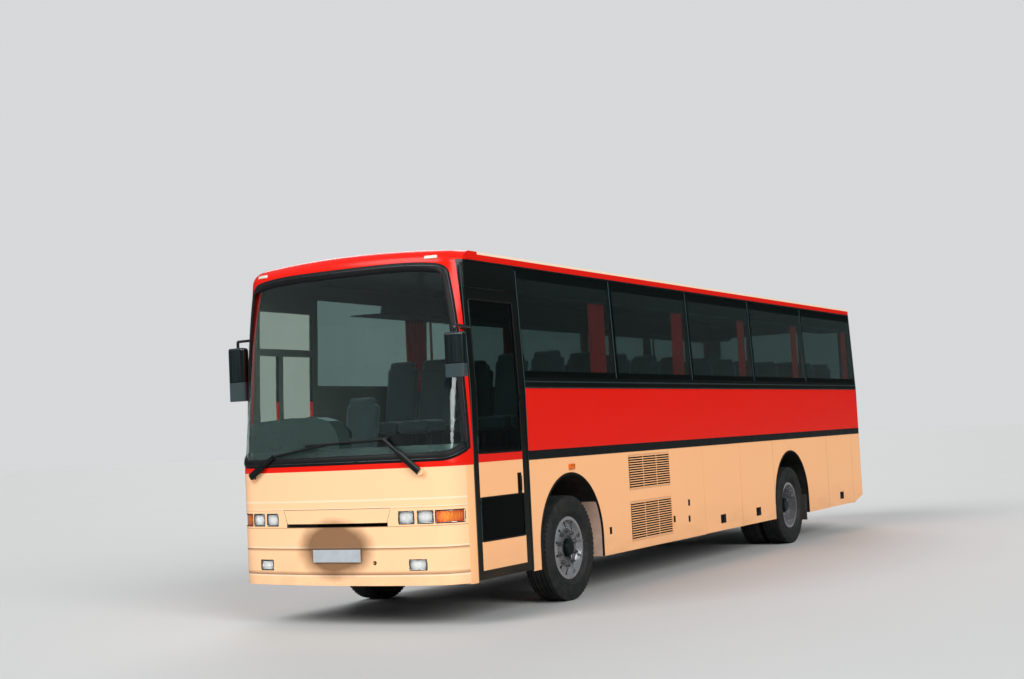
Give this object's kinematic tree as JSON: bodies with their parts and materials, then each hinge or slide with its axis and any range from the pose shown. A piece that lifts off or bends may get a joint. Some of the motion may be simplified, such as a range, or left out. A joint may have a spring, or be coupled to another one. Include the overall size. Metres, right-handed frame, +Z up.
{
  "type": "touring coach",
  "caption": "High-floor single-deck touring coach with steered front wheels, twin rear wheels, swinging entrance door, luggage flaps and a boot lid.",
  "frame": {"origin": "on the road under the middle of the coach's box", "axes": "+Z up, -Y forward, +X to the coach's left (door side)"},
  "size_m": [2.9275, 12.04, 3.375],
  "materials": {
    "body_paint": "gloss paint in red over cream",
    "clear_glass": "clear laminated glass",
    "tinted_glass": "dark tinted glass",
    "lamp_glass": "ribbed lamp glass",
    "lamp_red": "red lamp plastic",
    "dark_metal": "satin black",
    "floor_covering": "ribbed sheet",
    "black_rubber": "matt",
    "chassis_steel": "satin chassis paint",
    "cast_metal": "rough, oily",
    "seat_cloth": "dark blue-green moquette",
    "dark_plastic": "grained",
    "pale_plastic": "fine grain",
    "curtain_cloth": "dark red woven",
    "tyre": "matt, dusty",
    "bright_metal": "polished, a little dusty"
  },
  "bodies": {
    "coach_body": {"front_panel": "body_paint", "front_bumper": "body_paint", "front_lamps": "lamp_glass", "windscreen_surround": "body_paint", "windscreen": "clear_glass", "side_wall_left": "body_paint", "side_wall_right": "body_paint", "side_windows": "tinted_glass", "side_grilles": "dark_metal", "rear_wall": "body_paint", "rear_bumper": "body_paint", "rear_window": "tinted_glass", "rear_lamps": "lamp_red", "roof": "body_paint", "saloon_floor": "floor_covering", "wheel_housings": "black_rubber", "chassis_frame": "chassis_steel", "engine": "cast_metal", "luggage_bays": "dark_metal", "front_axle": "cast_metal", "rear_axle": "cast_metal", "passenger_seats": "seat_cloth", "driver_seat": "seat_cloth", "dashboard": "dark_plastic", "steering_column": "dark_plastic", "luggage_racks": "pale_plastic", "curtains": "curtain_cloth", "mirrors": "dark_plastic", "wipers": "dark_metal"},
    "knuckle_left": {"knuckle_left": "cast_metal"},
    "knuckle_right": {"knuckle_right": "cast_metal"},
    "wheel_front_left": {"tyre_front_left": "tyre", "rim_front_left": "bright_metal"},
    "wheel_front_right": {"tyre_front_right": "tyre", "rim_front_right": "bright_metal"},
    "wheels_rear_left": {"tyres_rear_left": "tyre", "rims_rear_left": "bright_metal"},
    "wheels_rear_right": {"tyres_rear_right": "tyre", "rims_rear_right": "bright_metal"},
    "steering_wheel": {"steering_wheel": "dark_plastic"},
    "door_arms": {"door_arms": "chassis_steel"},
    "entrance_door": {"entrance_door": "body_paint", "entrance_door_glass": "tinted_glass"},
    "boot_lid": {"boot_lid": "body_paint"},
    "luggage_flap_left_front": {"luggage_flap_left_front": "body_paint"},
    "luggage_flap_left_rear": {"luggage_flap_left_rear": "body_paint"},
    "luggage_flap_left_tail": {"luggage_flap_left_tail": "body_paint"},
    "luggage_flap_right_front": {"luggage_flap_right_front": "body_paint"},
    "luggage_flap_right_rear": {"luggage_flap_right_rear": "body_paint"},
    "luggage_flap_right_tail": {"luggage_flap_right_tail": "body_paint"}
  },
  "joints": [
    {"name": "steer_left", "type": "hinge", "parent": "coach_body", "child": "knuckle_left", "pos_m": [0.88, -3.75, 0.515], "axis": [0, 0, 1], "range_deg": [-38, 38]},
    {"name": "steer_right", "type": "hinge", "parent": "coach_body", "child": "knuckle_right", "pos_m": [-0.88, -3.75, 0.515], "axis": [0, 0, 1], "range_deg": [-38, 38]},
    {"name": "steering_wheel_turn", "type": "hinge", "parent": "coach_body", "child": "steering_wheel", "pos_m": [-0.56, -5.28, 1.79], "axis": [0, 0.4695, 0.8829], "range_deg": [-760, 760]},
    {"name": "spin_front_left", "type": "hinge", "parent": "knuckle_left", "child": "wheel_front_left", "pos_m": [1.088, -3.75, 0.515], "axis": [1, 0, 0], "continuous": true},
    {"name": "spin_front_right", "type": "hinge", "parent": "knuckle_right", "child": "wheel_front_right", "pos_m": [-1.088, -3.75, 0.515], "axis": [1, 0, 0], "continuous": true},
    {"name": "spin_rear_left", "type": "hinge", "parent": "coach_body", "child": "wheels_rear_left", "pos_m": [1.088, 2.71, 0.515], "axis": [1, 0, 0], "continuous": true},
    {"name": "spin_rear_right", "type": "hinge", "parent": "coach_body", "child": "wheels_rear_right", "pos_m": [-1.088, 2.71, 0.515], "axis": [1, 0, 0], "continuous": true},
    {"name": "door_arm_swing", "type": "hinge", "parent": "coach_body", "child": "door_arms", "pos_m": [1.128, -5.447, 1], "axis": [0, 0, -1], "range_deg": [0, 115]},
    {"name": "door_leaf_turn", "type": "hinge", "parent": "door_arms", "child": "entrance_door", "pos_m": [1.128, -4.897, 1], "axis": [0, 0, 1], "range_deg": [0, 115]},
    {"name": "boot_lid_lift", "type": "hinge", "parent": "coach_body", "child": "boot_lid", "pos_m": [0, 6.03, 1.7597], "axis": [1, 0, 0], "range_deg": [0, 85]},
    {"name": "luggage_flap_left_front_lift", "type": "hinge", "parent": "coach_body", "child": "luggage_flap_left_front", "pos_m": [1.25, 0.231, 1.388], "axis": [0, -1, 0], "range_deg": [0, 85]},
    {"name": "luggage_flap_left_rear_lift", "type": "hinge", "parent": "coach_body", "child": "luggage_flap_left_rear", "pos_m": [1.25, 1.433, 1.388], "axis": [0, -1, 0], "range_deg": [0, 85]},
    {"name": "luggage_flap_left_tail_lift", "type": "hinge", "parent": "coach_body", "child": "luggage_flap_left_tail", "pos_m": [1.25, 4.89, 1.388], "axis": [0, -1, 0], "range_deg": [0, 85]},
    {"name": "luggage_flap_right_front_lift", "type": "hinge", "parent": "coach_body", "child": "luggage_flap_right_front", "pos_m": [-1.25, 0.231, 1.388], "axis": [0, 1, 0], "range_deg": [0, 85]},
    {"name": "luggage_flap_right_rear_lift", "type": "hinge", "parent": "coach_body", "child": "luggage_flap_right_rear", "pos_m": [-1.25, 1.433, 1.388], "axis": [0, 1, 0], "range_deg": [0, 85]},
    {"name": "luggage_flap_right_tail_lift", "type": "hinge", "parent": "coach_body", "child": "luggage_flap_right_tail", "pos_m": [-1.25, 4.89, 1.388], "axis": [0, 1, 0], "range_deg": [0, 85]}
  ],
  "couplings": [
    {"joint": "steer_right", "follows": "steer_left", "ratio": 1},
    {"joint": "steering_wheel_turn", "follows": "steer_left", "ratio": 20},
    {"joint": "door_leaf_turn", "follows": "door_arm_swing", "ratio": 1}
  ]
}
